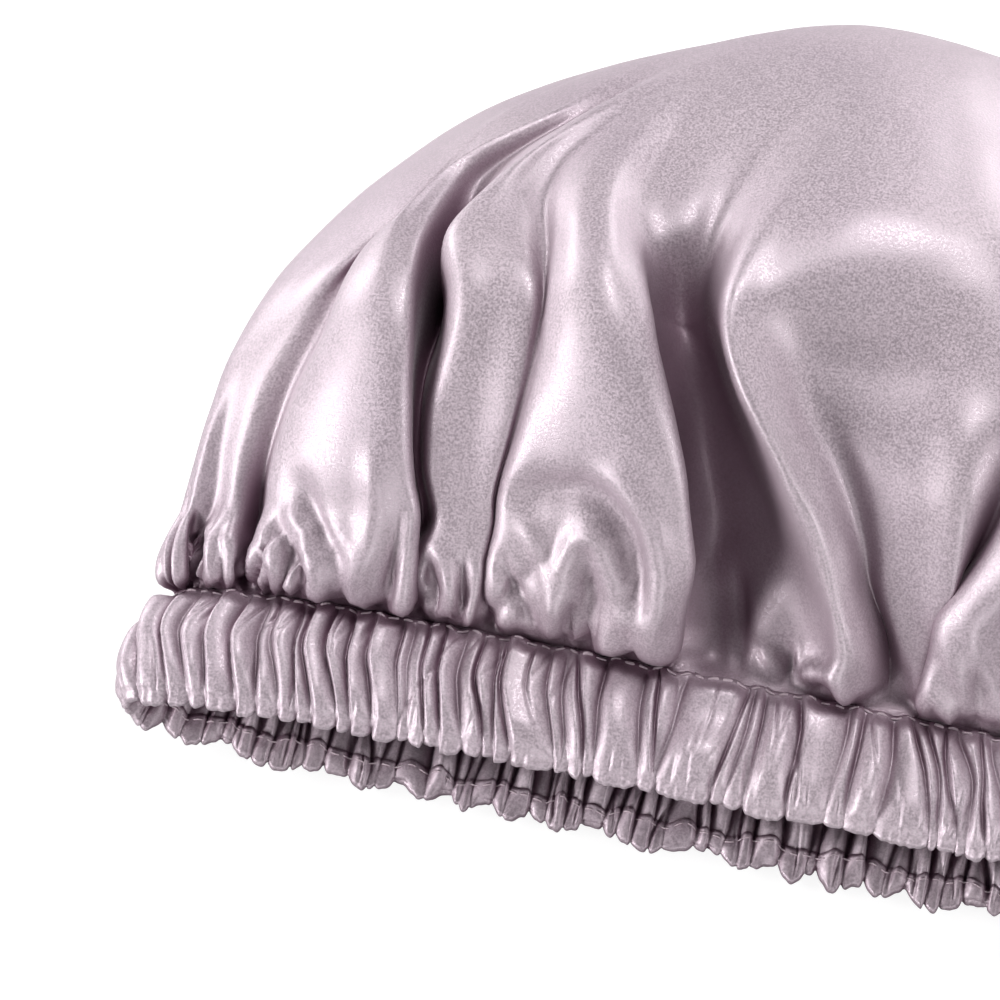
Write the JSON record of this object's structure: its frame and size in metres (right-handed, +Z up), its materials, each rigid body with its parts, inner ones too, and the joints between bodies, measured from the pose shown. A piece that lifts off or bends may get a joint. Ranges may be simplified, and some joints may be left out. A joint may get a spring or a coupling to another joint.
{
  "type": "silk hair bonnet",
  "caption": "Soft lined hair bonnet lying on its side: a puffed, gathered crown sewn into a wide shirred band with a flat elastic inside.",
  "frame": {"origin": "on the table under the middle of the bonnet's box, as it lies on its side", "axes": "+X from the left to the right end of the band loop, +Y from the opening to the far end of the crown, +Z up from the table"},
  "size_m": [0.2564, 0.1726, 0.0911],
  "materials": {
    "silk_outer": "satin, grey mauve silk charmeuse with soft highlights",
    "silk_lining": "satin, the same silk on the inside",
    "elastic": "matte woven elastic",
    "thread": "pale polyester sewing thread"
  },
  "bodies": {
    "root": {"crown_shell": "silk_outer", "crown_lining": "silk_lining", "band_casing": "silk_outer", "band_facing": "silk_lining", "elastic_loop": "elastic", "topstitch_thread": "thread", "hem_stitch_thread": "thread"}
  },
  "joints": []
}
